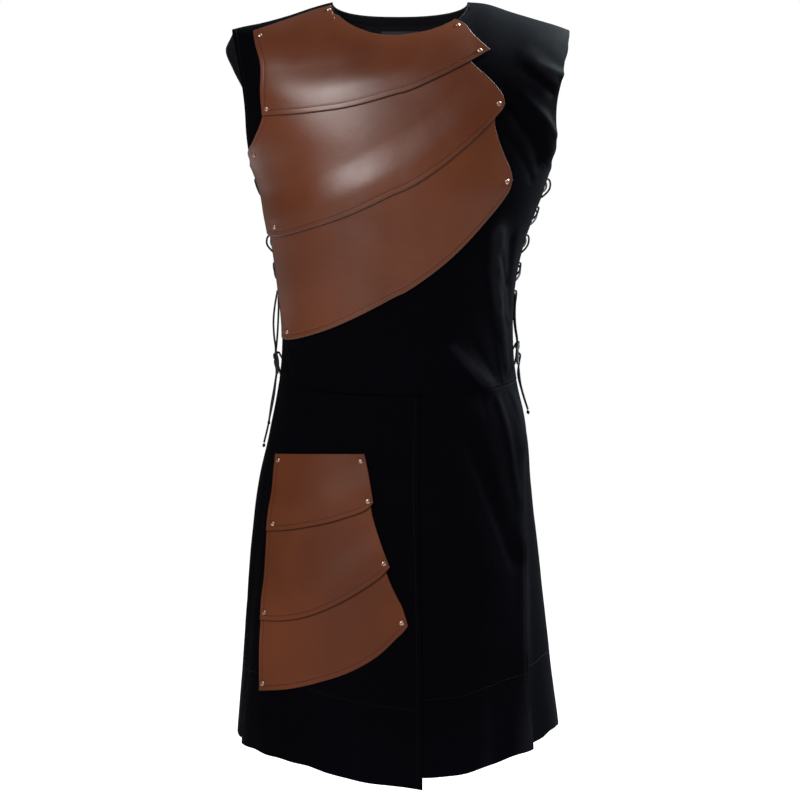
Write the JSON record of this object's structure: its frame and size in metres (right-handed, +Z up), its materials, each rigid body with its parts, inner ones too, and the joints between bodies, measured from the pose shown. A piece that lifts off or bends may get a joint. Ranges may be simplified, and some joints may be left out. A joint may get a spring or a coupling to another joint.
{
  "type": "renaissance vest",
  "caption": "Knee-length sleeveless tunic vest in black cloth, laced at both sides, with riveted brown leather plates on the chest and right thigh, worn and hollow.",
  "frame": {"origin": "between the shoulders, level with the neck ends of the two shoulder seams", "axes": "+Z up, -Y to the front of the wearer, +X to the wearer's left"},
  "size_m": [0.4501, 0.3045, 0.993],
  "materials": {
    "black_cloth": "black woven cotton cloth, matt with a faint satin sheen",
    "brown_leather": "smooth dark brown leather, semi-gloss",
    "rivet_metal": "polished copper-coloured domes",
    "lace_fibre": "black round braided lace",
    "label_satin": "plain dark woven satin"
  },
  "bodies": {
    "root": {"bodice_back": "black_cloth", "bodice_front": "black_cloth", "bow_knot_left": "lace_fibre", "bow_knot_right": "lace_fibre", "bow_loop_left_1": "lace_fibre", "bow_loop_left_2": "lace_fibre", "bow_loop_right_1": "lace_fibre", "bow_loop_right_2": "lace_fibre", "chest_plate_1": "brown_leather", "chest_plate_2": "brown_leather", "chest_plate_3": "brown_leather", "chest_rivet_01": "rivet_metal", "chest_rivet_02": "rivet_metal", "chest_rivet_03": "rivet_metal", "chest_rivet_04": "rivet_metal", "chest_rivet_05": "rivet_metal", "chest_rivet_06": "rivet_metal", "chest_rivet_07": "rivet_metal", "chest_rivet_08": "rivet_metal", "chest_rivet_09": "rivet_metal", "chest_rivet_10": "rivet_metal", "end_knot_left_1": "lace_fibre", "end_knot_left_2": "lace_fibre", "end_knot_right_1": "lace_fibre", "end_knot_right_2": "lace_fibre", "lace_left_1": "lace_fibre", "lace_left_2": "lace_fibre", "lace_right_1": "lace_fibre", "lace_right_2": "lace_fibre", "lace_tail_left_1": "lace_fibre", "lace_tail_left_2": "lace_fibre", "lace_tail_right_1": "lace_fibre", "lace_tail_right_2": "lace_fibre", "neck_label": "label_satin", "skirt_back": "black_cloth", "skirt_over": "black_cloth", "skirt_under": "black_cloth", "thigh_plate_1": "brown_leather", "thigh_plate_2": "brown_leather", "thigh_plate_3": "brown_leather", "thigh_rivet_01": "rivet_metal", "thigh_rivet_02": "rivet_metal", "thigh_rivet_03": "rivet_metal", "thigh_rivet_04": "rivet_metal", "thigh_rivet_05": "rivet_metal", "thigh_rivet_06": "rivet_metal", "thigh_rivet_07": "rivet_metal", "thigh_rivet_08": "rivet_metal"}
  },
  "joints": []
}
